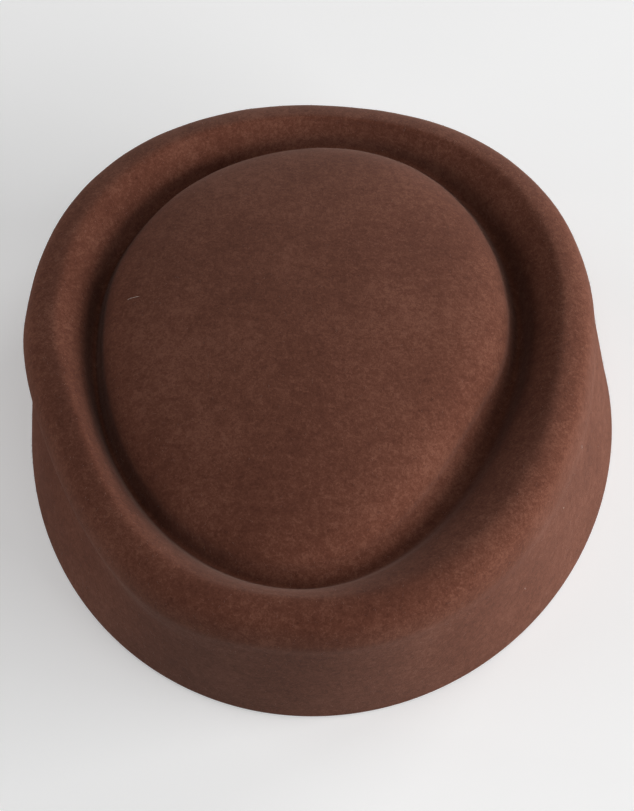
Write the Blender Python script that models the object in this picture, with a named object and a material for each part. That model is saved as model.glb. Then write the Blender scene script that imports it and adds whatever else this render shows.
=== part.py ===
"""Pillbox hat of blocked wool felt: a domed tip sunk inside a rolled edge, and a side that flares to the hem.

The hat rests on its hem at height 0 with its front towards -Y. All sizes are in millimetres until the
points become vertices, which are in metres.
"""

import math

import bmesh
import bpy
from mathutils import Vector

METRE = 0.001
ROUND = 64  # points round each oval
SPANS = 2  # steps from one rail of a profile to the next
GAP = 0.3  # room between two pieces that lie against each other

# Each oval's reach from the crown's axis towards +X, the back, -X and the front, and its squareness.
HEM = (90.0, 95.0, 89.0, 106.5, 2.0)
ROLL = (81.0, 85.0, 88.5, 109.5, 2.2)
CHANNEL = (59.0, 72.5, 67.3, 91.0, 2.0)
TIP = (56.0, 68.5, 65.2, 89.0, 2.0)
ROLL_RADIUS = 9.0

TIP_HEIGHT = 64.0
CHANNEL_HEIGHT = 45.0
CREST_HEIGHT = 56.0
ROLL_HEIGHT = 47.0
FELT = 3.0

# Local changes of the ovals, each at an angle in degrees from +X and fading out on both sides of it.
NIP_ANGLE = 308.0  # the tip and its channel are drawn in at the right of the front
NIP_HALF_WIDTH = 48.0
TIP_NIP = 6.0
CHANNEL_NIP = 2.5
DROP_ANGLE = 268.0  # the rolled edge is lower and softer at the front
DROP_HALF_WIDTH = 62.0
CREST_DROP = 2.5
DENT_ANGLE = 221.0  # the roll stands in from the hem at the left of the front
DENT_HALF_WIDTH = 37.0
DENT_DEPTH = 6.0
CREASE_ANGLE = 213.0  # the side is pressed in under the roll there
CREASE_HALF_WIDTH = 48.0
CREASE_DEPTH = 5.0
CREASE_HEIGHT = 33.0

TURN_IN = 12.0  # how high the felt is turned up inside the hem
TURN_THICKNESS = 6.2  # wall, wire and turned-up felt together
SLOT = 0.4
POCKET = 1.6  # half the room round the wire
WIRE_HEIGHT = 3.2
WIRE_RADIUS = 0.6
WIRE_POINTS = 84
FERRULE_RADIUS = 1.25
FERRULE_LENGTH = 12.0

BAND_BOTTOM = 2.5
BAND_WIDTH = 25.0
BAND_THICKNESS = 0.7
LINING_THICKNESS = 0.6
LINING_ROOM = 1.2  # from the felt's inner face, measured level, to the lining
LINING_BOTTOM = 20.0
LINING_TOP = 37.5
LINING_DOME = 50.0

BOW_LOOP = 9.4  # half the length of one of the bow's loops
BOW_LOOP_PLACE = 10.2  # from the bow's middle to the middle of a loop
BOW_DEPTH = 1.6  # half the depth of a loop
BOW_HEIGHT = 11.0
BOW_WAIST = 0.72  # height of the bow under its knot, as a share of its full height
BOW_MIDDLE = 18.0  # height of the bow's middle on the sweatband
RIBBON = 0.6
KNOT_WIDTH = 7.0
KNOT_DEPTH = 1.6  # half the room inside the knot, across the ribbon's thickness
KNOT_HEIGHT = 4.9  # half the room inside the knot, up and down
TAB_WIDTH = 12.0
TAB_HEIGHT = 9.0
TAB_THICKNESS = 0.7
TAB_ANGLE = 62.0


# --- The felt's shape ---


def reach(oval, angle):
    """Distance from the axis to an oval in one direction."""
    across = oval[0] if math.cos(angle) >= 0 else oval[2]
    along = oval[1] if math.sin(angle) >= 0 else oval[3]
    power = oval[4]
    inside = abs(math.cos(angle) / across) ** power + abs(math.sin(angle) / along) ** power
    return inside ** (-1 / power)


def swell(angle, middle, half_width):
    """A smooth rise from 0 to 1 in one direction, which fades out on both sides of it."""
    off = (math.degrees(angle) - middle + 180) % 360 - 180
    return max(0.0, 1 - (off / half_width) ** 2) ** 2


def channel_reach(angle):
    return reach(CHANNEL, angle) - CHANNEL_NIP * swell(angle, NIP_ANGLE, NIP_HALF_WIDTH)


def tip_reach(angle):
    return reach(TIP, angle) - TIP_NIP * swell(angle, NIP_ANGLE, NIP_HALF_WIDTH)


def limb_reach(angle):
    """Distance from the axis to the widest part of the roll."""
    return reach(ROLL, angle) - DENT_DEPTH * swell(angle, DENT_ANGLE, DENT_HALF_WIDTH)


def drop(angle):
    return CREST_DROP * swell(angle, DROP_ANGLE, DROP_HALF_WIDTH)


def axis_y():
    """The crown's axis stands so far behind the middle of the hat's length."""
    return (max(ROLL[3], HEM[3]) - max(ROLL[1], HEM[1])) / 2


def point(radius, angle, height):
    return Vector((radius * math.cos(angle), axis_y() + radius * math.sin(angle), height))


def tip_rails(angle):
    """Rails of the domed tip, drawn in towards its own middle."""
    side = point(tip_reach(angle), angle, 0)
    middle = Vector(((CHANNEL[0] - CHANNEL[2]) / 2, axis_y() + (CHANNEL[1] - CHANNEL[3]) / 2, 0))
    rise = TIP_HEIGHT - CHANNEL_HEIGHT
    steps = ((0.22, 0.98), (0.45, 0.92), (0.70, 0.79), (0.88, 0.60), (0.97, 0.38), (1.0, 0.17))
    return [middle + (side - middle) * part + Vector((0, 0, CHANNEL_HEIGHT + rise * up)) for part, up in steps]


def roll_rails(angle):
    """Rails of the channel's floor and of the rolled edge that stands round it."""
    floor = channel_reach(angle)
    limb = limb_reach(angle)
    crest = limb - ROLL_RADIUS
    slope = crest - floor
    top = CREST_HEIGHT - drop(angle)
    shoulder = ROLL_HEIGHT - drop(angle)
    rise = top - CHANNEL_HEIGHT
    return [
        point(floor, angle, CHANNEL_HEIGHT),
        point(floor + 0.30 * slope, angle, CHANNEL_HEIGHT + 0.46 * rise),
        point(floor + 0.64 * slope, angle, CHANNEL_HEIGHT + 0.83 * rise),
        point(crest, angle, top),
        point(crest + 0.72 * ROLL_RADIUS, angle, shoulder + 0.70 * (top - shoulder)),
        point(limb, angle, shoulder),
    ]


def side_rails(angle):
    """Rails of the side from under the roll down to the hem."""
    limb = limb_reach(angle)
    flare = reach(HEM, angle) - limb
    press = CREASE_DEPTH * swell(angle, CREASE_ANGLE, CREASE_HALF_WIDTH)
    under = 0.5 * (ROLL_HEIGHT - drop(angle) + CREASE_HEIGHT)
    return [
        point(limb + 0.10 * flare - 0.5 * press, angle, under),
        point(limb + 0.26 * flare - press, angle, CREASE_HEIGHT),
        point(limb + 0.64 * flare - 0.3 * press, angle, 0.5 * CREASE_HEIGHT),
        point(limb + 0.92 * flare, angle, 0.15 * CREASE_HEIGHT),
        point(limb + flare, angle, 0),
    ]


def smooth(rails):
    """Points of a Catmull-Rom curve through the rails."""
    ends = [2 * rails[0] - rails[1], *rails, 2 * rails[-1] - rails[-2]]
    curve = []
    for before, start, end, after in zip(ends, ends[1:], ends[2:], ends[3:]):
        for step in range(SPANS):
            t = step / SPANS
            curve.append(
                start
                + 0.5 * t * (end - before)
                + t * t * (before - 2.5 * start + 2 * end - 0.5 * after)
                + t**3 * (1.5 * (start - end) + 0.5 * (after - before))
            )
    return curve + [rails[-1]]


def angles():
    return [2 * math.pi * step / ROUND for step in range(ROUND)]


def outer_rings():
    """The felt's outer face as rings, from the first one round the tip's middle down to the hem."""
    profiles = [smooth(tip_rails(a) + roll_rails(a) + side_rails(a)) for a in angles()]
    return [list(ring) for ring in zip(*profiles)]


def inner_rings(rings, depth):
    """The rings again, each point moved square to the face by a depth."""
    moved = []
    for row in range(1, len(rings) - 1):
        ring = []
        for step in range(ROUND):
            round_way = rings[row][(step + 1) % ROUND] - rings[row][step - 1]
            down_way = rings[row + 1][step] - rings[row - 1][step]
            ring.append(rings[row][step] - depth * down_way.cross(round_way).normalized())
        moved.append(ring)
    return moved


def wall(angle, height, inset=0.0):
    """A point so far inside the side's outer face, at a height below the roll."""
    rails = smooth(side_rails(angle))
    for upper, lower in zip(rails, rails[1:]):
        if lower.z <= height:
            part = (upper.z - height) / (upper.z - lower.z)
            face = upper.lerp(lower, part)
            break
    out = Vector((math.cos(angle), math.sin(angle), 0))
    return Vector((face.x, face.y, height)) - inset * out


def wall_ring(height, inset):
    return [wall(a, height, inset) for a in angles()]


# --- Making objects ---


def material(name, color, roughness, metallic=0.0):
    made = bpy.data.materials.new(name)
    made.use_nodes = True
    shader = made.node_tree.nodes["Principled BSDF"]
    shader.inputs["Base Color"].default_value = (*color, 1)
    shader.inputs["Roughness"].default_value = roughness
    shader.inputs["Metallic"].default_value = metallic
    made.diffuse_color = (*color, 1)
    return made


def add_object(name, bm, finish):
    """An object from a bmesh whose points are in millimetres."""
    bmesh.ops.triangulate(bm, faces=bm.faces, ngon_method="EAR_CLIP")
    bmesh.ops.scale(bm, vec=(METRE, METRE, METRE), verts=bm.verts)
    if bm.calc_volume(signed=True) < 0:
        bmesh.ops.reverse_faces(bm, faces=bm.faces)
    mesh = bpy.data.meshes.new(name)
    bm.to_mesh(mesh)
    bm.free()
    mesh.shade_smooth()
    mesh.set_sharp_from_angle(angle=math.radians(40))
    mesh.materials.append(finish)
    made = bpy.data.objects.new(name, mesh)
    bpy.context.collection.objects.link(made)
    return made


def loop_edges(bm, ring):
    return [bm.edges.get(pair) for pair in zip(ring, ring[1:] + ring[:1])]


def next_ring(bm, ring, places):
    """Extrudes a closed loop of edges and carries its new points to their places."""
    made = bmesh.ops.extrude_edge_only(bm, edges=loop_edges(bm, ring))["geom"]
    fresh = {item for item in made if isinstance(item, bmesh.types.BMVert)}
    moved = [next(e.other_vert(v) for e in v.link_edges if e.other_vert(v) in fresh) for v in ring]
    for vertex, place in zip(moved, places):
        vertex.co = place
    return moved


def skin(rings):
    """A bmesh that starts as one loop and is extruded through the other rings, with its last loop."""
    bm = bmesh.new()
    first = bmesh.ops.create_circle(bm, segments=len(rings[0]), radius=1)["verts"]
    for vertex, place in zip(first, rings[0]):
        vertex.co = place
    last = first
    for places in rings[1:]:
        last = next_ring(bm, last, places)
    return bm, first, last


def capped_skin(rings):
    """A skin closed by a face over its first loop and one over its last."""
    bm, first, last = skin(rings)
    bm.faces.new(first)
    bm.faces.new(last[::-1])
    bmesh.ops.recalc_face_normals(bm, faces=bm.faces)
    return bm


def hoop_skin(rings):
    """A skin whose last loop is joined to its first, as on a band."""
    bm, first, last = skin(rings)
    for step in range(len(first)):
        after = (step + 1) % len(first)
        bm.faces.new((last[step], last[after], first[after], first[step]))
    bmesh.ops.recalc_face_normals(bm, faces=bm.faces)
    return bm


# --- The pieces ---


def felt_body(finish):
    """One blocked shell of felt, turned up inside the hem round the wire."""
    outer = outer_rings()
    inner = [ring for ring in inner_rings(outer, FELT)[1::2] if min(p.z for p in ring) > TURN_IN + FELT]
    slot = (TURN_THICKNESS - SLOT) / 2
    turn = slot + SLOT
    middle = TURN_THICKNESS / 2
    low = WIRE_HEIGHT - POCKET
    high = WIRE_HEIGHT + POCKET
    fold = [(1.2, 0), (TURN_THICKNESS - 1.2, 0), (TURN_THICKNESS, 1.2), (TURN_THICKNESS, TURN_IN)]
    pocket = [
        (turn, TURN_IN), (turn, high), (middle + POCKET, high - 0.8), (middle + POCKET, low + 0.8),
        (middle, low), (middle - POCKET, low + 0.8), (middle - POCKET, high - 0.8), (slot, high),
        (slot, TURN_IN),
    ]
    edge = [wall_ring(height, inset) for inset, height in fold + pocket]
    rings = [ring for ring in outer if max(p.z for p in ring) > 1.2] + [wall_ring(1.2, 0)]
    add_object("felt_body", capped_skin(rings + edge + inner[::-1]), finish)


def wire_points(start, end, steps):
    """Points along the wire's line inside the hem, between two angles."""
    span = [start + (end - start) * step / steps for step in range(steps + 1)]
    return [wall(a, WIRE_HEIGHT, TURN_THICKNESS / 2) for a in span]


def tube_skin(line, radii, sides):
    """Rings of one or more radii round a line, to be joined outer to inner at its ends."""
    skins = []
    for radius in radii:
        rings = []
        for index, place in enumerate(line):
            ahead = line[min(index + 1, len(line) - 1)] - line[max(index - 1, 0)]
            side = ahead.cross(Vector((0, 0, 1))).normalized()
            up = side.cross(ahead).normalized()
            turns = [2 * math.pi * step / sides for step in range(sides)]
            rings.append([place + radius * (math.cos(t) * side + math.sin(t) * up) for t in turns])
        skins.append(rings)
    return skins


def half_ferrule_angle():
    return 0.5 * FERRULE_LENGTH / (HEM[1] - TURN_THICKNESS / 2)


def edge_wire(finish):
    """Millinery wire inside the hem, whose two ends meet in the ferrule at the back."""
    back = math.pi / 2
    end_gap = 0.5 / HEM[1]
    line = wire_points(back + end_gap, back + 2 * math.pi - end_gap, WIRE_POINTS)
    add_object("edge_wire", capped_skin(tube_skin(line, [WIRE_RADIUS], 6)[0]), finish)


def wire_ferrule(finish):
    """A short brass tube that holds the wire's two ends."""
    back = math.pi / 2
    line = wire_points(back - half_ferrule_angle(), back + half_ferrule_angle(), 6)
    outside, bore = tube_skin(line, [FERRULE_RADIUS, WIRE_RADIUS + GAP], 8)
    add_object("wire_ferrule", hoop_skin(outside + bore[::-1]), finish)


def band_rail(angle, height):
    """The sweatband's outer face: against the turned-up felt at its foot, and free of the side above it."""
    lean = 0.35 * max(0.0, height - TURN_IN)
    clear = FELT + LINING_ROOM + LINING_THICKNESS + 2 * GAP
    return wall(angle, height, max(TURN_THICKNESS + GAP - lean, clear))


def band_heights():
    return [BAND_BOTTOM, TURN_IN, BAND_BOTTOM + 0.75 * BAND_WIDTH, BAND_BOTTOM + BAND_WIDTH]


def band_face(angle, height):
    """A point of that face, which is straight from one rail to the next."""
    heights = band_heights()
    above = next((place for place in heights[1:] if place >= height), heights[-1])
    below = heights[heights.index(above) - 1]
    part = (height - below) / (above - below)
    return band_rail(angle, below).lerp(band_rail(angle, above), part)


def inward(place, angle, depth):
    """A point moved level towards the axis."""
    return place - depth * Vector((math.cos(angle), math.sin(angle), 0))


def sweatband(finish):
    """A ribbon inside the head opening, sewn on along its lower edge only."""
    outside = [[band_rail(a, height) for a in angles()] for height in band_heights()]
    inside = [[inward(p, a, BAND_THICKNESS) for p, a in zip(ring, angles())] for ring in outside]
    add_object("sweatband", hoop_skin(outside + inside[::-1]), finish)


def side_lining(finish):
    """The lining's side: from behind the sweatband's top up and in, under the channel."""
    outside = [[wall(a, height, FELT + LINING_ROOM) for a in angles()] for height in (LINING_BOTTOM, 26, 31)]
    outside.append([point(channel_reach(a) + 6, a, LINING_TOP - 2) for a in angles()])
    outside.append([point(channel_reach(a) + 1, a, LINING_TOP) for a in angles()])
    drops = (0, 0, 0, 0.5, 0.6)
    insets = (0.6, 0.6, 0.6, 0.5, 0)
    inside = [
        [inward(p, a, inset) - Vector((0, 0, drop)) for p, a in zip(ring, angles())]
        for ring, inset, drop in zip(outside, insets, drops)
    ]
    add_object("side_lining", hoop_skin(outside + inside[::-1]), finish)


def tip_lining(finish):
    """The lining's oval top, slack inside the tip."""
    middle = Vector((0, axis_y() + (CHANNEL[1] - CHANNEL[3]) / 2, 0))
    low = LINING_TOP + GAP
    upper = []
    for part, up in ((0.3, 1.0), (0.6, 0.80), (0.85, 0.40), (1.0, 0.0)):
        lift = Vector((0, 0, low + (LINING_DOME - low) * up + LINING_THICKNESS))
        rim = [point(channel_reach(a) + 4, a, 0) for a in angles()]
        upper.append([middle + part * (p - middle) + lift for p in rim])
    lower = [[p - Vector((0, 0, LINING_THICKNESS)) for p in ring] for ring in upper]
    add_object("tip_lining", capped_skin(upper + lower[::-1]), finish)


def on_band(across, out, height, middle):
    """A place in front of the sweatband: across it from an angle, out from it and up."""
    angle = middle - across / reach(HEM, middle)
    return inward(band_face(angle, height), angle, BAND_THICKNESS + out)


def plate(outline, holes, depth, place):
    """A flat outline with holes, thickened by a depth and set in its place."""
    bm = bmesh.new()
    edges = []
    for ring in [outline, *holes]:
        verts = [bm.verts.new((x, y, 0)) for x, y in ring]
        edges += [bm.edges.new(pair) for pair in zip(verts, verts[1:] + verts[:1])]
    faces = bmesh.ops.triangle_fill(bm, edges=edges, use_beauty=True)["geom"]
    faces = [item for item in faces if isinstance(item, bmesh.types.BMFace)]
    top = bmesh.ops.extrude_face_region(bm, geom=faces)["geom"]
    bmesh.ops.translate(bm, vec=(0, 0, depth), verts=[v for v in top if isinstance(v, bmesh.types.BMVert)])
    bmesh.ops.recalc_face_normals(bm, faces=bm.faces)
    for vertex in bm.verts:
        vertex.co = place(*vertex.co)
    return bm


def oval_points(middle, half_length, half_depth, steps):
    turns = [2 * math.pi * step / steps for step in range(steps)]
    return [(middle + half_length * math.cos(t), half_depth * math.sin(t)) for t in turns]


def box_points(half_width, half_height):
    corners = ((-1, -1), (0, -1), (1, -1), (1, 0), (1, 1), (0, 1), (-1, 1), (-1, 0))
    return [(half_width * x, half_height * y) for x, y in corners]


def knot_out():
    """How far the bow's middle stands from the sweatband, so that its knot clears it."""
    return KNOT_DEPTH + RIBBON + GAP


def bow_depth(x):
    off = (abs(x) - BOW_LOOP_PLACE) / BOW_LOOP
    return max(RIBBON, BOW_DEPTH * math.sqrt(max(0.0, 1 - off * off)))


def ribbon_bow(finish):
    """A flat bow of one folded ribbon, with a loop each side of its waist."""
    end = BOW_LOOP_PLACE + BOW_LOOP - 0.1
    spread = [end * math.sin(math.pi * step / 24) for step in range(-12, 13)]
    outline = [(x, -bow_depth(x)) for x in spread] + [(x, bow_depth(x)) for x in spread[::-1]]
    loops = [
        oval_points(side * BOW_LOOP_PLACE, BOW_LOOP - RIBBON, BOW_DEPTH - RIBBON, 14)
        for side in (-1, 1)
    ]

    def place(x, y, z):
        part = BOW_WAIST + (1 - BOW_WAIST) * min(1.0, abs(x) / BOW_LOOP)
        height = BOW_MIDDLE + (z - 0.5 * BOW_HEIGHT) * part
        return on_band(x, knot_out() + y, height, math.pi / 2)

    add_object("ribbon_bow", plate(outline, loops, BOW_HEIGHT, place), finish)


def bow_knot(finish):
    """A short length of ribbon wrapped round the bow's waist and sewn behind it."""
    outline = box_points(KNOT_DEPTH + RIBBON, KNOT_HEIGHT + RIBBON)
    hole = box_points(KNOT_DEPTH, KNOT_HEIGHT)

    def place(y, z, x):
        return on_band(x - 0.5 * KNOT_WIDTH, knot_out() + y, BOW_MIDDLE + z, math.pi / 2)

    add_object("bow_knot", plate(outline, [hole], KNOT_WIDTH, place), finish)


def size_tab(finish):
    """A plain woven tab sewn to the sweatband beside the bow."""
    outline = box_points(0.5 * TAB_WIDTH, 0.5 * TAB_HEIGHT)
    middle = math.radians(TAB_ANGLE)

    def place(x, z, y):
        return on_band(x, GAP + y, BOW_MIDDLE + z, middle)

    add_object("size_tab", plate(outline, [], TAB_THICKNESS, place), finish)


def clear_scene():
    for old in list(bpy.data.objects):
        bpy.data.objects.remove(old, do_unlink=True)


def main():
    clear_scene()
    felt_body(material("wool_felt", (0.098, 0.042, 0.028), 0.95))
    edge_wire(material("coated_steel_wire", (0.05, 0.05, 0.05), 0.5))
    wire_ferrule(material("brass", (0.60, 0.42, 0.16), 0.35, 1.0))
    grosgrain = material("grosgrain", (0.045, 0.022, 0.016), 0.75)
    sweatband(grosgrain)
    ribbon_bow(grosgrain)
    bow_knot(grosgrain)
    size_tab(material("woven_tab", (0.55, 0.48, 0.38), 0.8))
    satin = material("satin", (0.09, 0.045, 0.032), 0.4)
    side_lining(satin)
    tip_lining(satin)


main()
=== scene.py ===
import functools
import math
import random

import bmesh
import bpy
from mathutils import Matrix, Vector, noise


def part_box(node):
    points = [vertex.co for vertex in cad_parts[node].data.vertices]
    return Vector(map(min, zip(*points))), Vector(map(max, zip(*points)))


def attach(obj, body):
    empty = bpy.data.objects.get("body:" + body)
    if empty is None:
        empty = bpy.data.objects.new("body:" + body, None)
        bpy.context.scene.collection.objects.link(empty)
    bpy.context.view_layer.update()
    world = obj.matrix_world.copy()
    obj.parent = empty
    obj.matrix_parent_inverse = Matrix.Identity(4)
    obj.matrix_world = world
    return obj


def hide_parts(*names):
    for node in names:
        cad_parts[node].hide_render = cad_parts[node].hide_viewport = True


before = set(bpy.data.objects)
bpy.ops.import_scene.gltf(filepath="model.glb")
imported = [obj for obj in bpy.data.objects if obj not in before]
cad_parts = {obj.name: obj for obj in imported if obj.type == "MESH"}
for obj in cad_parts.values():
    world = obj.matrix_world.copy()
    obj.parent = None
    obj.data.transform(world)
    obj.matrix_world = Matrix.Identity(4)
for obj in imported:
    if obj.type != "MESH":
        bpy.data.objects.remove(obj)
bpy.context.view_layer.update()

# The felt body: one hood of brown wool felt, steamed over a block into a domed tip, a channel round it and
# a rolled edge. The side flares to the hem, where the felt is turned up inside round a wire.
MM = 0.001
# Each oval is its reach from the crown's axis to +X, the back, -X and the front, with its squareness last.
HEM = (90.0, 95.0, 89.0, 106.5, 2.0)
ROLL = (81.0, 85.0, 88.5, 109.5, 2.2)
CHANNEL = (59.0, 72.5, 67.3, 91.0, 2.0)
TIP = (56.0, 68.5, 65.2, 89.0, 2.0)
AXIS_Y = (ROLL[3] - HEM[1]) / 2
FACET_LOSS = 0.4  # what the solid's facets take off the height of the tip
TIP_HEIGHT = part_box("felt_body")[1].z / MM + FACET_LOSS
CHANNEL_HEIGHT = 45.0
CREST_HEIGHT = 56.0
ROLL_HEIGHT = 47.0
ROLL_RADIUS = 9.0
# Local changes of the ovals: the angle from +X in degrees, half the width in degrees, and the depth.
NIP_ANGLE, NIP_HALF_WIDTH, TIP_NIP, CHANNEL_NIP = 308.0, 48.0, 6.0, 2.5
DROP_ANGLE, DROP_HALF_WIDTH, CREST_DROP = 268.0, 62.0, 2.5
DENT_ANGLE, DENT_HALF_WIDTH, DENT_DEPTH = 221.0, 37.0, 6.0
CREASE_ANGLE, CREASE_HALF_WIDTH, CREASE_DEPTH = 213.0, 48.0, 5.0
CREASE_HEIGHT = 33.0
TURN_IN = 12.0
TURN_THICKNESS = 6.2
FELT = 2.4
PROFILE_ON_FACE = 0.82  # the share of a profile's grid that lies on the outer face
BROAD_DENTS = (27.0, 0.28)  # the size and the height of the unevenness that steam leaves in the felt
FINE_DENTS = (9.0, 0.10)
HEART = Vector((0, AXIS_Y, 10))


def reach(oval, angle):
    """Distance from the axis to an oval in one direction."""
    across = oval[0] if math.cos(angle) >= 0 else oval[2]
    along_y = oval[1] if math.sin(angle) >= 0 else oval[3]
    power = oval[4]
    inside = abs(math.cos(angle) / across) ** power + abs(math.sin(angle) / along_y) ** power
    return inside ** (-1 / power)


def swell(angle, middle, half_width):
    """A smooth rise to 1 in one direction, in degrees, that fades out on both sides of it."""
    off = (math.degrees(angle) - middle + 180) % 360 - 180
    return max(0.0, 1 - (off / half_width) ** 2) ** 2


def channel_reach(angle):
    return reach(CHANNEL, angle) - CHANNEL_NIP * swell(angle, NIP_ANGLE, NIP_HALF_WIDTH)


def tip_reach(angle):
    return reach(TIP, angle) - TIP_NIP * swell(angle, NIP_ANGLE, NIP_HALF_WIDTH)


def limb_reach(angle):
    """Distance from the axis to the widest part of the roll."""
    return reach(ROLL, angle) - DENT_DEPTH * swell(angle, DENT_ANGLE, DENT_HALF_WIDTH)


def drop(angle):
    """How much lower the roll stands, towards the front."""
    return CREST_DROP * swell(angle, DROP_ANGLE, DROP_HALF_WIDTH)


def place(radius, angle, height):
    return Vector((radius * math.cos(angle), AXIS_Y + radius * math.sin(angle), height))


def tip_rails(angle):
    """The dome's rails. The first is on the far side of its middle, so that the curve lies level there."""
    side = place(tip_reach(angle), angle, 0)
    middle = Vector(((CHANNEL[0] - CHANNEL[2]) / 2, AXIS_Y + (CHANNEL[1] - CHANNEL[3]) / 2, 0))
    rise = TIP_HEIGHT - CHANNEL_HEIGHT
    steps = (
        (-0.22, 0.98), (0, 1), (0.22, 0.98), (0.45, 0.92), (0.70, 0.79), (0.88, 0.60), (0.97, 0.38), (1, 0.17)
    )
    rails = []
    for out, up in steps:
        rails.append(middle + (side - middle) * out + Vector((0, 0, CHANNEL_HEIGHT + rise * up)))
    return rails


def roll_rails(angle):
    """Rails of the channel's floor and of the rolled edge that stands round it."""
    floor = channel_reach(angle)
    limb = limb_reach(angle)
    crest = limb - ROLL_RADIUS
    slope = crest - floor
    top = CREST_HEIGHT - drop(angle)
    shoulder = ROLL_HEIGHT - drop(angle)
    rise = top - CHANNEL_HEIGHT
    return [
        place(floor, angle, CHANNEL_HEIGHT),
        place(floor + 0.30 * slope, angle, CHANNEL_HEIGHT + 0.46 * rise),
        place(floor + 0.64 * slope, angle, CHANNEL_HEIGHT + 0.83 * rise),
        place(crest, angle, top),
        place(crest + 0.72 * ROLL_RADIUS, angle, shoulder + 0.70 * (top - shoulder)),
        place(limb, angle, shoulder),
    ]


@functools.cache
def side_rails(angle):
    """Rails of the side from under the roll down to the hem."""
    limb = limb_reach(angle)
    flare = reach(HEM, angle) - limb
    press = CREASE_DEPTH * swell(angle, CREASE_ANGLE, CREASE_HALF_WIDTH)
    under = 0.5 * (ROLL_HEIGHT - drop(angle) + CREASE_HEIGHT)
    return [
        place(limb + 0.10 * flare - 0.5 * press, angle, under),
        place(limb + 0.26 * flare - press, angle, CREASE_HEIGHT),
        place(limb + 0.64 * flare - 0.3 * press, angle, 0.5 * CREASE_HEIGHT),
        place(limb + 0.92 * flare, angle, 0.15 * CREASE_HEIGHT),
        place(limb + flare, angle, 0),
    ]


def along(rails, part):
    """A point of the Catmull-Rom curve through the rails, from the first at 0 to the last at 1."""
    whole = part * (len(rails) - 1)
    index = min(int(whole), len(rails) - 2)
    t = whole - index
    start, end = rails[index], rails[index + 1]
    before = rails[index - 1] if index else 2 * start - end
    after = rails[index + 2] if index + 2 < len(rails) else 2 * end - start
    pull = 0.5 * t * (end - before) + t * t * (before - 2.5 * start + 2 * end - 0.5 * after)
    return start + pull + t**3 * (1.5 * (start - end) + 0.5 * (after - before))


def out_from(angle):
    return Vector((math.cos(angle), math.sin(angle), 0))


@functools.cache
def wall(angle, height, inset=0.0):
    """A point so far inside the side's outer face, at a height below the roll."""
    rails = side_rails(angle)
    low, high = 0.0, 1.0
    for _ in range(14):
        part = (low + high) / 2
        if along(rails, part).z > height:
            low = part
        else:
            high = part
    face = along(rails, high)
    return Vector((face.x, face.y, height)) - inset * out_from(angle)


@functools.cache
def felt_profile(angle):
    """The rails of one profile: the outer face down to the hem, then the fold and the turned-up edge."""
    soft = 1.9
    inside = TURN_THICKNESS
    fold = [
        (0.7, 0.35), (soft, 0), (inside - soft, 0), (inside - 0.7, 0.35), (inside, 1.6), (inside, 6),
        (inside, TURN_IN),
    ]
    outer = tip_rails(angle) + roll_rails(angle) + side_rails(angle)[:-1] + [wall(angle, 1.6)]
    return outer, [outer[-1]] + [wall(angle, height, inset) for inset, height in fold]


def felt_point(turn, part):
    """A point of the felt's outer face, with the slight unevenness that steam and hands leave in it."""
    angle = 2 * math.pi * turn
    outer, fold = felt_profile(angle)
    if part <= PROFILE_ON_FACE:
        point = along(outer, (1 + part / PROFILE_ON_FACE * (len(outer) - 2)) / (len(outer) - 1))
    else:
        point = along(fold, (part - PROFILE_ON_FACE) / (1 - PROFILE_ON_FACE))
    lift = sum(height * noise.noise(point / size) for size, height in (BROAD_DENTS, FINE_DENTS))
    sideways = min(1.0, 4 * part) * out_from(angle)
    return point + lift * min(1.0, point.z / 12) * (0.6 * sideways + Vector((0, 0, 0.8)))


def sheet_grid(columns, rows, shape, heart=HEART, joined=True):
    """A grid carried to its place by a function of how far round and how far down each point is."""
    bm = bmesh.new()
    bm.loops.layers.uv.new("UVMap")
    bmesh.ops.create_grid(bm, x_segments=columns, y_segments=rows, size=0.5, calc_uvs=True)
    for vertex in bm.verts:
        vertex.co = MM * shape(round(vertex.co.x + 0.5, 6), round(vertex.co.y + 0.5, 6))
    if joined:
        bmesh.ops.remove_doubles(bm, verts=bm.verts, dist=0.002 * MM)
    bmesh.ops.recalc_face_normals(bm, faces=bm.faces)
    facing = [f.normal.dot(f.calc_center_median() - MM * heart) * f.calc_area() for f in bm.faces]
    if sum(facing) < 0:
        bmesh.ops.reverse_faces(bm, faces=bm.faces)
    return bm


def finish_piece(name, bm, material, thickness=0.0):
    """The bmesh as a smooth object in its material that rides on the hat. Its thickness goes inwards."""
    mesh = bpy.data.meshes.new(name)
    bm.to_mesh(mesh)
    bm.free()
    mesh.shade_smooth()
    mesh.materials.append(material)
    piece = bpy.data.objects.new(name, mesh)
    bpy.context.collection.objects.link(piece)
    if thickness:
        wall_thickness = piece.modifiers.new("thickness", "SOLIDIFY")
        wall_thickness.thickness = thickness * MM
        wall_thickness.offset = -1
    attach(piece, "root")
    return piece


def linear(code):
    """A colour given as an sRGB hex value, as the linear one that shaders take."""
    channels = [int(code[i:i + 2], 16) / 255 for i in (1, 3, 5)]
    return (*[c / 12.92 if c <= 0.04045 else ((c + 0.055) / 1.055) ** 2.4 for c in channels], 1)


def new_material(name, color, **settings):
    """A Principled material, with the settings of its shader given by the names of their sockets."""
    made = bpy.data.materials.new(name)
    made.use_nodes = True
    shader = made.node_tree.nodes["Principled BSDF"]
    shader.inputs["Base Color"].default_value = linear(color)
    for socket, value in settings.items():
        shader.inputs[socket.replace("_", " ")].default_value = value
    return made


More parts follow.
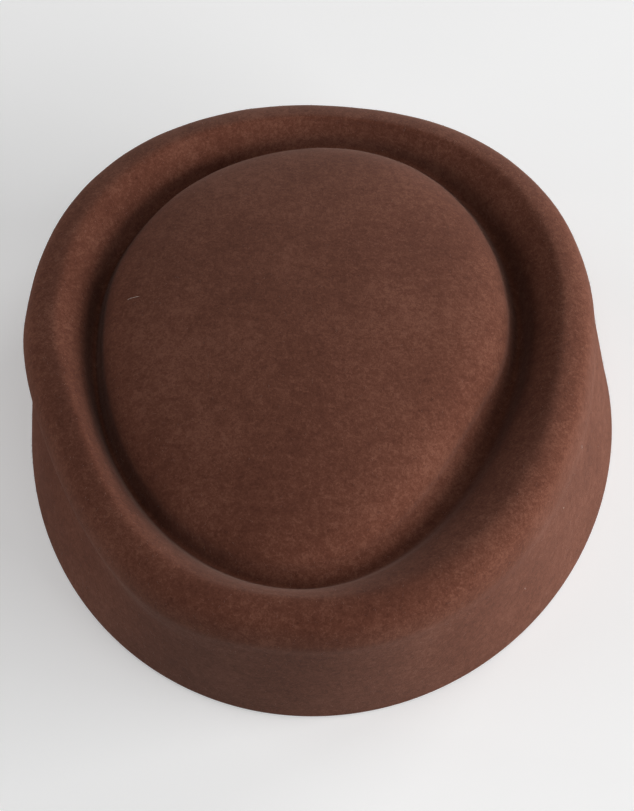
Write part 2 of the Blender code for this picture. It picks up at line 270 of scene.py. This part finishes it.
def add_node(material, kind, settings=None, links=None, stops=(), feeds=None):
    """A node with its settings, its inputs linked to the outputs given, the (position, hex) stops of its
    ramp, and the input of the material's shader that its first output feeds."""
    tree = material.node_tree
    node = tree.nodes.new(kind)
    for key, value in (settings or {}).items():
        if isinstance(key, int) or key in node.inputs:
            node.inputs[key].default_value = value
        else:
            setattr(node, key, value)
    for key, output in (links or {}).items():
        tree.links.new(output, node.inputs[key])
    for index, (position, code) in enumerate(stops):
        elements = node.color_ramp.elements
        element = elements[index] if index < len(elements) else elements.new(position)
        element.position = position
        element.color = linear(code)
    if feeds:
        tree.links.new(node.outputs[0], tree.nodes["Principled BSDF"].inputs[feeds])
    return node


def wool_felt():
    """Brushed wool felt: no gloss at all, a nap that pales at the edges of forms, and a slightly cloudy dye.
    The fibres are 0.02 mm thick, so the grain is that of the tufts they lie in."""
    made = new_material(
        "brushed_wool_felt", "#643b2d", Roughness=0.95, Sheen_Weight=0.29, Sheen_Roughness=0.5,
        Sheen_Tint=linear("#d8b4a6"), Specular_IOR_Level=0.08,
    )
    where = add_node(made, "ShaderNodeTexCoord").outputs["Object"]
    tuft_mm, clump_mm, cloud_mm = 0.8, 2.6, 24.0
    tufts = add_node(
        made, "ShaderNodeTexNoise",
        {"Scale": 1 / (tuft_mm * MM), "Detail": 3.0, "Roughness": 0.7, "Distortion": 1.0}, {"Vector": where},
    )
    clumps = add_node(
        made, "ShaderNodeTexNoise",
        {"Scale": 1 / (clump_mm * MM), "Detail": 3.0, "Roughness": 0.6, "Distortion": 0.6}, {"Vector": where},
    )
    clouds = add_node(
        made, "ShaderNodeTexNoise", {"Scale": 1 / (cloud_mm * MM), "Detail": 4.0, "Roughness": 0.5},
        {"Vector": where},
    )
    half_clumps = add_node(
        made, "ShaderNodeMath", {"operation": "MULTIPLY", 1: 0.45}, {0: clumps.outputs["Fac"]}
    )
    grain = add_node(
        made, "ShaderNodeMath", {"operation": "MULTIPLY_ADD", 1: 0.75},
        {0: tufts.outputs["Fac"], 2: half_clumps.outputs[0]},
    )
    tone = add_node(
        made, "ShaderNodeMath", {"operation": "MULTIPLY_ADD", 1: 0.40},
        {0: clouds.outputs["Fac"], 2: grain.outputs[0]},
    )
    add_node(
        made, "ShaderNodeValToRGB", links={"Fac": tone.outputs[0]},
        stops=[(0.55, "#4e2a1f"), (0.80, "#643b2d"), (1.0, "#784d3e")], feeds="Base Color",
    )
    add_node(
        made, "ShaderNodeBump", {"Strength": 0.6, "Distance": 0.16 * MM}, {"Height": grain.outputs[0]},
        feeds="Normal",
    )
    return made


felt = finish_piece("blocked_felt", sheet_grid(300, 150, felt_point), wool_felt(), FELT)
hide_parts("felt_body")

# The nap: wool fibres that the brush has raised and that stand a little off the felt. Each fibre is a thin
# cone, drawn thicker than the real 0.02 mm to show.
NAP_COUNT = 5200
NAP_TUFTS = 80
NAP_THICKNESS = 0.055
NAP_LENGTHS = (0.5, 1.7)
NAP_LEANS = (0.10, 0.55)  # how far a fibre stands out from the felt, over how far it runs along it
NAP_SWIRL = (0.6, 1.0)  # its heading in radians: the middle and the spread
NAP_REACH = 0.80  # the fibres go this far down the profile, nearly to the hem
NAP_ROOT = 0.05
draws = random.Random(7)


def felt_frame(turn, part):
    """A point of the felt, and its directions round, down and out."""
    here = felt_point(turn, part)
    round_way = (felt_point(turn + 0.002, part) - here).normalized()
    down_way = (felt_point(turn, part + 0.004) - here).normalized()
    out_way = round_way.cross(down_way).normalized()
    if out_way.dot(here - HEART) < 0:
        out_way = -out_way
    return here, round_way, down_way, out_way


def add_fibre(bm, root, direction, length, thickness):
    """One tapering fibre whose thick end is at its root."""
    turned = direction.to_track_quat("Z", "Y")
    matrix = Matrix.LocRotScale(MM * (root + 0.5 * length * direction), turned, None)
    bmesh.ops.create_cone(
        bm, cap_ends=True, segments=3, radius1=0.5 * thickness * MM, radius2=0.15 * thickness * MM,
        depth=length * MM, matrix=matrix,
    )


nap = bmesh.new()
tuft = bpy.data.meshes.new("tuft")
for _ in range(NAP_TUFTS):
    bm = bmesh.new()
    for _ in range(NAP_COUNT // NAP_TUFTS):
        part = NAP_REACH * draws.random() ** 0.6
        here, round_way, down_way, out_way = felt_frame(draws.random(), part)
        swirl = draws.gauss(*NAP_SWIRL)
        lean = draws.uniform(*NAP_LEANS)
        flat = math.cos(swirl) * round_way + math.sin(swirl) * down_way
        direction = (flat + lean * out_way).normalized()
        add_fibre(bm, here - NAP_ROOT * out_way, direction, draws.uniform(*NAP_LENGTHS), NAP_THICKNESS)
    bm.to_mesh(tuft)
    bm.free()
    nap.from_mesh(tuft)

# Brushed-up wool: the fibres are coloured a shade paler than the felt under them, a painted highlight for the
# light their sides catch, and no two near each other are quite alike.
nap_wool = new_material(
    "raised_wool_fibre", "#7a5446", Roughness=0.8, Sheen_Weight=0.3, Sheen_Roughness=0.4,
    Specular_IOR_Level=0.3,
)
where = add_node(nap_wool, "ShaderNodeTexCoord").outputs["Object"]
shade_mm = 1.5
shades = add_node(
    nap_wool, "ShaderNodeTexNoise", {"Scale": 1 / (shade_mm * MM), "Detail": 2.0}, {"Vector": where}
)
add_node(
    nap_wool, "ShaderNodeValToRGB", links={"Fac": shades.outputs["Fac"]},
    stops=[(0.35, "#5c3a2e"), (0.55, "#7a5446"), (0.7, "#926b5b")], feeds="Base Color",
)
finish_piece("raised_nap", nap, nap_wool)

# Lint caught in the nap: one pale stray thread on the tip and a few specks on the side, all cotton fluff.
# For each, how far round and down the felt it lies, its heading in degrees, its length and its thickness.
LINT = (
    (0.503, 0.190, 229, 3.8, 0.15),
    (0.645, 0.672, 75, 1.1, 0.30),
    (0.552, 0.640, 20, 0.8, 0.16),
    (0.905, 0.655, 40, 0.7, 0.20),
    (0.938, 0.610, 130, 0.9, 0.14),
    (0.868, 0.700, 95, 0.6, 0.18),
)
LINT_BENDS = 4
LINT_TURN = 26  # the sharpest bend, in degrees
LINT_RISE = 0.04
LINT_LAP = 1.2  # each length runs past its bend, into the next one
lint = bmesh.new()
for turn, part, heading, length, thickness in LINT:
    spot, round_way, down_way, out_way = felt_frame(turn, part)
    spot += 0.5 * thickness * out_way
    for _ in range(LINT_BENDS):
        heading += draws.uniform(-LINT_TURN, LINT_TURN)
        turned = math.radians(heading)
        flat = math.cos(turned) * round_way + math.sin(turned) * down_way
        direction = (flat + LINT_RISE * out_way).normalized()
        add_fibre(lint, spot, direction, LINT_LAP * length / LINT_BENDS, thickness)
        spot += length / LINT_BENDS * direction

# Undyed cotton: matt and pale, so that a thread of it shows on the brown.
pale_cotton = new_material("pale_cotton_lint", "#d2c4b8", Roughness=0.8, Sheen_Weight=0.3)
finish_piece("caught_lint", lint, pale_cotton)

# The edge wire: lacquered steel inside the turned-up hem, which keeps the hem's oval. Its two ends meet at
# the back in a crimped brass tube. Both are out of sight on a finished hat.

# Stoved lacquer on steel: black with a dull gloss, and slight runs where it was dipped.
lacquer = new_material(
    "black_lacquered_steel", "#17181a", Roughness=0.35, Coat_Weight=0.4, Coat_Roughness=0.2
)
where = add_node(lacquer, "ShaderNodeTexCoord").outputs["Object"]
run_mm = 1.2
runs = add_node(lacquer, "ShaderNodeTexNoise", {"Scale": 1 / (run_mm * MM), "Detail": 4.0}, {"Vector": where})
add_node(
    lacquer, "ShaderNodeMapRange", {"To Min": 0.28, "To Max": 0.5}, {"Value": runs.outputs["Fac"]},
    feeds="Roughness",
)
add_node(
    lacquer, "ShaderNodeBump", {"Distance": 0.03 * MM}, {"Height": runs.outputs["Fac"]}, feeds="Normal"
)

# Drawn brass: fine lines along the tube from the die, and brown tarnish that starts in them.
brass = new_material("drawn_brass", "#b8924a", Metallic=1.0, Roughness=0.32)
where = add_node(brass, "ShaderNodeTexCoord").outputs["Object"]
line_mm = 3.0
drawn = add_node(brass, "ShaderNodeMapping", {"Scale": (1, 12, 12)}, {"Vector": where})
lines = add_node(
    brass, "ShaderNodeTexNoise", {"Scale": 1 / (line_mm * MM), "Detail": 4.0},
    {"Vector": drawn.outputs["Vector"]},
)
add_node(
    brass, "ShaderNodeValToRGB", links={"Fac": lines.outputs["Fac"]},
    stops=[(0.3, "#8a6a34"), (0.6, "#b8924a"), (0.8, "#c9a864")], feeds="Base Color",
)
add_node(brass, "ShaderNodeBump", {"Distance": 0.02 * MM}, {"Height": lines.outputs["Fac"]}, feeds="Normal")
for node, material in (("edge_wire", lacquer), ("wire_ferrule", brass)):
    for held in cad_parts[node].material_slots:
        held.material = material

# The lining's side: a strip of thin satin, gathered along its upper edge and sewn there to the lining's tip.
# Its lower edge is caught behind the sweatband.
LINING = 0.3
LINING_BOTTOM = 20.0
LINING_TOP = 37.5
LINING_ROOM = 1.5  # between the felt and the lining, at the side
GATHER_SIZE = 3.4
FOLD_SIZE = 11.0


def satin_weave(name, width_mm, length_mm):
    """Dyed acetate satin: long floating threads that give soft streaks of light along them, partly through
    the roughness and bump and partly as painted sheen: lighter streaks in the base colour. A thread is 0.1
    mm, drawn here at 0.4 mm so that it shows. The width and length are the cloth's across its UV map."""
    made = new_material(
        name, "#3d2219", Roughness=0.34, Sheen_Weight=0.12, Sheen_Roughness=0.3, Specular_IOR_Level=0.6
    )
    thread_mm = 0.4
    spread = add_node(made, "ShaderNodeUVMap", {"uv_map": "UVMap"})
    threads = add_node(
        made, "ShaderNodeMapping", {"Scale": (width_mm / thread_mm, length_mm / (14 * thread_mm), 1)},
        {"Vector": spread.outputs["UV"]},
    )
    floats_and_sheen = add_node(
        made, "ShaderNodeTexNoise", {"Scale": 1.0, "Detail": 2.0, "Roughness": 0.5},
        {"Vector": threads.outputs["Vector"]},
    )
    # The ramp's lighter streaks are painted sheen; the roughness and bump from the same noise are the satin's
    # own.
    add_node(
        made, "ShaderNodeValToRGB", links={"Fac": floats_and_sheen.outputs["Fac"]},
        stops=[(0.3, "#301a13"), (0.55, "#402419"), (0.75, "#523123")], feeds="Base Color",
    )
    add_node(
        made, "ShaderNodeMapRange", {"To Min": 0.26, "To Max": 0.48}, {"Value": floats_and_sheen.outputs["Fac"]},
        feeds="Roughness",
    )
    add_node(
        made, "ShaderNodeBump", {"Distance": 0.05 * MM}, {"Height": floats_and_sheen.outputs["Fac"]}, feeds="Normal"
    )
    return made


def round_noise(angle, size, depth, radius=84.0):
    """Noise that closes on itself round the hat, with features of a size in millimetres."""
    return noise.noise(Vector((radius / size * math.cos(angle), radius / size * math.sin(angle), depth)))


def lining_side_point(turn, part):
    """A point of the strip, from its lower edge up the side and in under the channel, with its gathers."""
    angle = 2 * math.pi * turn
    rails = [wall(angle, height, FELT + LINING_ROOM) for height in (LINING_BOTTOM, 25.0, 30.0)]
    rails.append(place(channel_reach(angle) + 6, angle, LINING_TOP - 2.3))
    rails.append(place(channel_reach(angle) + 1, angle, LINING_TOP))
    gathers = 0.5 + 0.5 * round_noise(angle, GATHER_SIZE, 0.8 * part)
    folds = 0.5 + 0.5 * round_noise(angle, FOLD_SIZE, 2.0 + part)
    deep = (0.35 + 0.65 * part) * (1.1 * gathers + 0.8 * folds)
    return along(rails, part) - deep * (0.6 * out_from(angle) + Vector((0, 0, 0.9 * part)))


side_cloth = finish_piece(
    "satin_lining_side", sheet_grid(600, 26, lining_side_point),
    satin_weave("side_lining_satin", 540.0, 26.0), LINING,
)
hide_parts("side_lining")

# The lining's tip: an oval of the same satin, cut large so that it lies slack under the crown. It is sewn to
# the gathered strip all round, with machine stitches that show on the seam.
LINING_DOME = 50.0
SLACK_SIZE = 34.0
TIP_GATHER_SIZE = 4.2
DRAG_WIDTH = 8.0
DRAG_LENGTH = 40.0


def lining_tip_point(turn, part):
    """A point of the oval, slack in the middle and with soft folds that run from front to back."""
    angle = 2 * math.pi * turn
    middle = Vector((0, AXIS_Y + (CHANNEL[1] - CHANNEL[3]) / 2, 0))
    rim = place(channel_reach(angle) + 4, angle, 0)
    rise = LINING_DOME - LINING_TOP
    steps = ((-0.3, 0.92), (0, 1), (0.3, 0.92), (0.6, 0.74), (0.85, 0.38), (1, 0.0))
    low = LINING_TOP + 0.7
    rails = [middle + out * (rim - middle) + Vector((0, 0, low + up * rise)) for out, up in steps]
    point = along(rails, 0.2 + 0.8 * part)
    slack = noise.noise(point / SLACK_SIZE + Vector((5, 0, 0)))
    drag_lines = noise.noise(Vector((point.x / DRAG_WIDTH + 1.6 * slack, point.y / DRAG_LENGTH, 0)))
    gathers = round_noise(angle, TIP_GATHER_SIZE, 3 * part) * max(0.0, part - 0.55) * 2
    fall = 1.9 * slack + 0.8 * drag_lines + 0.5 * gathers
    return point + Vector((0, 0, min(1.0, 5 * (1 - part) + 0.12) * (fall - 0.9)))


tip_cloth = finish_piece(
    "satin_lining_tip", sheet_grid(360, 90, lining_tip_point),
    satin_weave("tip_lining_satin", 480.0, 80.0), LINING,
)
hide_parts("tip_lining")

# Spun polyester: matt, and barely lighter than the cloth, with its twist as short light and dark bars.
thread = new_material("spun_polyester_thread", "#4a2c20", Roughness=0.6, Sheen_Weight=0.2)
where = add_node(thread, "ShaderNodeTexCoord").outputs["Object"]
twist_mm = 0.4
twist = add_node(
    thread, "ShaderNodeTexNoise", {"Scale": 1 / (twist_mm * MM), "Detail": 2.0}, {"Vector": where}
)
add_node(
    thread, "ShaderNodeValToRGB", links={"Fac": twist.outputs["Fac"]},
    stops=[(0.35, "#3a2118"), (0.65, "#5e3b2c")], feeds="Base Color",
)
add_node(thread, "ShaderNodeBump", {"Distance": 0.04 * MM}, {"Height": twist.outputs["Fac"]}, feeds="Normal")


def add_stitches(name, line, count, length, thickness):
    """A run of stitches, each a slim spindle laid along a line given as a function from 0 to 1."""
    bm = bmesh.new()
    for index in range(count):
        middle = (index + 0.5) / count
        start = line(middle - 0.0005)
        end = line(middle + 0.0005)
        turned = (end - start).to_track_quat("Z", "Y")
        size = MM * Vector((thickness, thickness, length))
        matrix = Matrix.LocRotScale(MM * (start + end) / 2, turned, size)
        bmesh.ops.create_uvsphere(bm, u_segments=6, v_segments=5, radius=0.5, matrix=matrix)
    return finish_piece(name, bm, thread)


def lining_seam(turn):
    """The seam, on the side strip's lower face just inside its upper edge."""
    return lining_side_point(turn % 1, 0.93) - Vector((0, 0, LINING + 0.05))


seam = add_stitches("lining_seam_stitches", lining_seam, 180, 2.1, 0.28)

# The sweatband: petersham ribbon 25 mm wide, with ribs across it and a scalloped edge. It is sewn by its
# lower edge to the turned-up felt, and its ends overlap at the back, under the bow.
BAND_BOTTOM = 2.5
BAND_WIDTH = 25.0
BAND = 0.45
BAND_LAP = 0.16  # the overlap of its ends, in radians
RIB = 0.95
BAND_RADIUS = 88.0
SCALLOP = 0.22
BACK = math.pi / 2


def grosgrain_weave(name, width_mm, length_mm):
    """Petersham ribbon of viscose and cotton: thick ribs, with the fine warp over them catching the light. A
    warp thread is 0.15 mm, drawn at 0.35 mm so that it shows."""
    made = new_material(
        name, "#2e1a13", Roughness=0.62, Sheen_Weight=0.2, Sheen_Roughness=0.35, Specular_IOR_Level=0.4
    )
    thread_mm = 0.35
    spread = add_node(made, "ShaderNodeUVMap", {"uv_map": "UVMap"})
    laid = add_node(
        made, "ShaderNodeMapping", {"Scale": (length_mm / (5 * thread_mm), width_mm / thread_mm, 1)},
        {"Vector": spread.outputs["UV"]},
    )
    warp = add_node(
        made, "ShaderNodeTexNoise", {"Scale": 1.0, "Detail": 2.0, "Roughness": 0.6},
        {"Vector": laid.outputs["Vector"]},
    )
    add_node(
        made, "ShaderNodeValToRGB", links={"Fac": warp.outputs["Fac"]},
        stops=[(0.3, "#22120d"), (0.55, "#321d15"), (0.75, "#452a1f")], feeds="Base Color",
    )
    add_node(
        made, "ShaderNodeBump", {"Distance": 0.06 * MM}, {"Height": warp.outputs["Fac"]}, feeds="Normal"
    )
    return made


def band_inset(height):
    """How far the sweatband's outer face lies inside the felt's outer face."""
    lean = min(1.0, max(0.0, (height - TURN_IN) / 10))
    return TURN_THICKNESS + 0.3 - 1.0 * lean * lean * (3 - 2 * lean)


def rib_wave(length):
    return math.cos(2 * math.pi * length / RIB)


def band_point(turn, part):
    """A point of the ribbon's outer face. The end that laps over the other steps in to clear it."""
    turned = turn * (2 * math.pi + BAND_LAP)
    angle = BACK - BAND_LAP / 2 + turned
    wave = rib_wave(turned * BAND_RADIUS)
    edge = abs(2 * part - 1) ** 8
    height = BAND_BOTTOM + BAND_WIDTH * part + SCALLOP * wave * edge * (1 if part > 0.5 else -1)
    over = min(1.0, max(0.0, (turned - 2 * math.pi) / 0.03 + 1))
    ripple = 0.25 * round_noise(angle, 30, part) * part
    return wall(angle, height, band_inset(height) + 0.55 * over + 0.07 * wave + ripple)


band = finish_piece(
    "sweatband_ribbon", sheet_grid(2400, 9, band_point, joined=False),
    grosgrain_weave("band_grosgrain", BAND_WIDTH, 555.0), BAND,
)
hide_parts("sweatband")


def band_seam(turn):
    """Just above the band's lower edge, on its inner face."""
    angle = BACK + 0.5 * BAND_LAP + turn * (2 * math.pi - BAND_LAP)
    return wall(angle, BAND_BOTTOM + 1.6, band_inset(BAND_BOTTOM) + BAND + 0.12)


band_stitches = add_stitches("sweatband_stitches", band_seam, 134, 2.4, 0.32)

# The bow: one length of the same ribbon, 11 mm wide, folded into two flat loops. It marks the back of the
# hat and covers the lap of the sweatband.
BOW_LOOP = 9.4
BOW_LOOP_PLACE = 10.2
BOW_DEPTH = 1.35
BOW_HEIGHT = 11.0
BOW_MIDDLE = 18.0
BOW_OUT = 2.4
BOW_STEPS = 336
RIBBON = 0.4


def on_band(across, out, height, middle=BACK):
    """A place in front of the sweatband: across it from an angle, out from it, and up."""
    angle = middle - across / reach(HEM, middle)
    return wall(angle, height, band_inset(height) + 0.7 + out)


def evenly(line, count):
    """Points spaced evenly along a closed line."""
    lengths = [0.0]
    for before, after in zip(line, line[1:]):
        lengths.append(lengths[-1] + (after - before).length)
    spots = []
    index = 0
    for step in range(count + 1):
        target = lengths[-1] * step / count
        while index < len(line) - 2 and lengths[index + 1] < target:
            index += 1
        share = (target - lengths[index]) / (lengths[index + 1] - lengths[index])
        spots.append(line[index].lerp(line[index + 1], share))
    return spots, lengths[-1]


def bow_outline(t):
    """The folded ribbon seen from above, as a flat loop each side of the waist."""
    across = (BOW_LOOP_PLACE + BOW_LOOP) * math.sin(t)
    off = (abs(across) - BOW_LOOP_PLACE) / BOW_LOOP
    depth = max(0.35 * abs(math.cos(t)), BOW_DEPTH * math.sqrt(max(0.0, 1 - off * off)))
    return Vector((across, math.copysign(depth, math.cos(t)), 0))


bow_spots, bow_length = evenly([bow_outline(2 * math.pi * step / 400) for step in range(401)], BOW_STEPS)


def bow_point(turn, part):
    """A point of the folded ribbon, which is pinched at the waist and droops a little at its ends."""
    spot = bow_spots[round(turn * BOW_STEPS) % BOW_STEPS]
    wave = rib_wave(turn * round(bow_length / RIB) * RIB)
    spread = min(1.0, (abs(spot.x) / (0.8 * BOW_LOOP)) ** 0.8)
    edge = abs(2 * part - 1) ** 8
    half = 0.5 * BOW_HEIGHT * (0.80 + 0.20 * spread) + 0.16 * wave * edge
    pleat = 0.22 * math.cos(5 * math.pi * (part - 0.5)) * (1 - spread)
    droop = -0.5 * spread * (abs(spot.x) / 20) ** 2
    height = BOW_MIDDLE + droop + half * (2 * part - 1)
    return on_band(spot.x, BOW_OUT + spot.y + pleat + 0.05 * wave, height)


bow = finish_piece(
    "bow_loops", sheet_grid(BOW_STEPS, 14, bow_point, on_band(0, BOW_OUT, BOW_MIDDLE)),
    grosgrain_weave("bow_grosgrain", BOW_HEIGHT, 80.0), RIBBON,
)
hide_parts("ribbon_bow")

# The bow's knot: a short length of the ribbon, folded narrow in soft pleats, wrapped round the waist of the
# bow and sewn behind it.
KNOT_WIDTH = 7.0
KNOT_DEPTH = 1.9
KNOT_HEIGHT = 5.2


def knot_point(turn, part):
    """A point of the wrap, a rounded box round the waist with three soft pleats."""
    t = 2 * math.pi * turn
    across = KNOT_WIDTH * (part - 0.5)
    square = (abs(math.cos(t)) ** 4 + abs(math.sin(t)) ** 4) ** -0.25
    pleats = 0.20 * math.cos(6 * math.pi * part) - 0.5 * abs(2 * part - 1) ** 6
    out = (KNOT_DEPTH + pleats) * square * math.cos(t)
    up = (KNOT_HEIGHT + pleats + 0.04 * math.cos(40 * t)) * square * math.sin(t)
    return on_band(across * (1 - 0.10 * abs(math.cos(t))), BOW_OUT + out, BOW_MIDDLE + up)


knot = finish_piece(
    "bow_wrap", sheet_grid(120, 30, knot_point, on_band(0, BOW_OUT, BOW_MIDDLE)),
    grosgrain_weave("knot_grosgrain", KNOT_WIDTH, 30.0), RIBBON,
)
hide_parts("bow_knot")

# The size tab: a small woven tab, left blank, with both short ends folded under. It is stitched to the
# sweatband beside the bow.
TAB = 0.3
TAB_WIDTH = 12.0
TAB_HEIGHT = 9.0
TAB_ANGLE = math.radians(62)


def tab_point(turn, part):
    """A point of the tab's face, thicker where the short ends are folded under."""
    across = TAB_WIDTH * (turn - 0.5)
    up = TAB_HEIGHT * (part - 0.5)
    folded = 0.22 * min(1.0, max(0.0, (abs(2 * turn - 1) - 0.78) / 0.05))
    swelled = 0.12 * (1 - (2 * part - 1) ** 2) * (1 - (2 * turn - 1) ** 2)
    rounded = -0.18 * max(abs(2 * turn - 1), abs(2 * part - 1)) ** 16
    return on_band(across, 0.42 + folded + swelled + rounded, BOW_MIDDLE + up, TAB_ANGLE)


def woven_tab():
    """Polyester damask: two sets of threads that cross, 0.12 mm thick and drawn at 0.3 mm to show."""
    made = new_material("blank_damask_tab", "#b8a688", Roughness=0.55, Sheen_Weight=0.15)
    spread = add_node(made, "ShaderNodeUVMap", {"uv_map": "UVMap"})
    thread_mm = 0.3
    waves = []
    for direction, span in (("X", TAB_WIDTH), ("Y", TAB_HEIGHT)):
        scaled = add_node(
            made, "ShaderNodeMapping", {"Scale": (span / thread_mm, span / thread_mm, 1)},
            {"Vector": spread.outputs["UV"]},
        )
        waves.append(
            add_node(
                made, "ShaderNodeTexWave",
                {"wave_type": "BANDS", "bands_direction": direction, "Scale": 0.314, "Distortion": 0.4},
                {"Vector": scaled.outputs["Vector"]},
            )
        )
    weave = add_node(
        made, "ShaderNodeMath", {"operation": "MULTIPLY"},
        {0: waves[0].outputs["Fac"], 1: waves[1].outputs["Fac"]},
    )
    add_node(
        made, "ShaderNodeValToRGB", links={"Fac": weave.outputs[0]},
        stops=[(0.1, "#988668"), (0.6, "#c2b092")], feeds="Base Color",
    )
    add_node(
        made, "ShaderNodeBump", {"Distance": 0.06 * MM}, {"Height": weave.outputs[0]}, feeds="Normal"
    )
    return made


tab = finish_piece(
    "blank_size_tab", sheet_grid(60, 44, tab_point, joined=False), woven_tab(), TAB
)
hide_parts("size_tab")


def tab_seam(turn):
    """Up one short end of the tab and down the other."""
    side = -1 if turn < 0.5 else 1
    up = (2 * turn) % 1 - 0.5
    height = BOW_MIDDLE + 0.8 * side * -up * TAB_HEIGHT
    return on_band(0.40 * side * TAB_WIDTH, 1.0, height, TAB_ANGLE)


tab_stitches = add_stitches("tab_stitches", tab_seam, 10, 1.1, 0.24)

# The camera looks down on the front of the hat from arm's length, a little round to the hat's left (+X).
camera_data = bpy.data.cameras.new("camera")
camera_data.lens = 131.9
camera = bpy.data.objects.new("camera", camera_data)
azimuth, elevation, distance = math.radians(5.4), math.radians(54), 883 * MM
aim = MM * Vector((0.4, AXIS_Y - 19.3, 34.3))
back = Vector(
    (math.sin(azimuth) * math.cos(elevation), -math.cos(azimuth) * math.cos(elevation), math.sin(elevation))
)
camera.location = aim + distance * back
camera.rotation_euler = (-back).to_track_quat("-Z", "Y").to_euler()
bpy.context.collection.objects.link(camera)
bpy.context.scene.camera = camera

# The floor is one wide sheet of pale paper with a faint light of its own, which evens it out. It throws no
# diffuse light up on to the hat, for that would make the hat's side paler.
FLOOR_SIZE = 6
bm = bmesh.new()
bmesh.ops.create_grid(bm, x_segments=2, y_segments=2, size=FLOOR_SIZE)
mesh = bpy.data.meshes.new("floor")
bm.to_mesh(mesh)
bm.free()
floor = bpy.data.objects.new("floor", mesh)
bpy.context.collection.objects.link(floor)
paper = new_material(
    "pale_paper", "#e6e6e6", Roughness=0.9, Emission_Color=linear("#ffffff"), Emission_Strength=0.30
)
mesh.materials.append(paper)
floor.visible_diffuse = False

# Six softboxes round the hat, all but one of them low, so that they rake across the felt. The strongest is
# at +X and the weakest above. Each has its azimuth and elevation in degrees, and its watts.
SOFTBOXES = (
    ("key_softbox", 0, 14, 19.5),
    ("back_softbox", 45, 14, 12),
    ("front_softbox", 329, 20, 12),
    ("left_softbox", 165, 12, 7),
    ("left_fill", 200, 12, 7),
    ("top_fill", 285, 65, 4),
)
SOFTBOX_SIZE = 0.8  # in metres, as is the distance
SOFTBOX_DISTANCE = 1.6
for name, azimuth, elevation, watts in SOFTBOXES:
    data = bpy.data.lights.new(name, "AREA")
    data.size = SOFTBOX_SIZE
    data.energy = watts
    lamp = bpy.data.objects.new(name, data)
    level = math.cos(math.radians(elevation))
    out = level * out_from(math.radians(azimuth)) + Vector((0, 0, math.sin(math.radians(elevation))))
    lamp.location = SOFTBOX_DISTANCE * out
    lamp.rotation_euler = (-out).to_track_quat("-Z", "Y").to_euler()
    bpy.context.collection.objects.link(lamp)
world = bpy.data.worlds.new("studio")
world.use_nodes = True
world.node_tree.nodes["Background"].inputs["Color"].default_value = linear("#ffffff")
world.node_tree.nodes["Background"].inputs["Strength"].default_value = 0.02
bpy.context.scene.world = world
bpy.context.scene.view_settings.view_transform = "Standard"
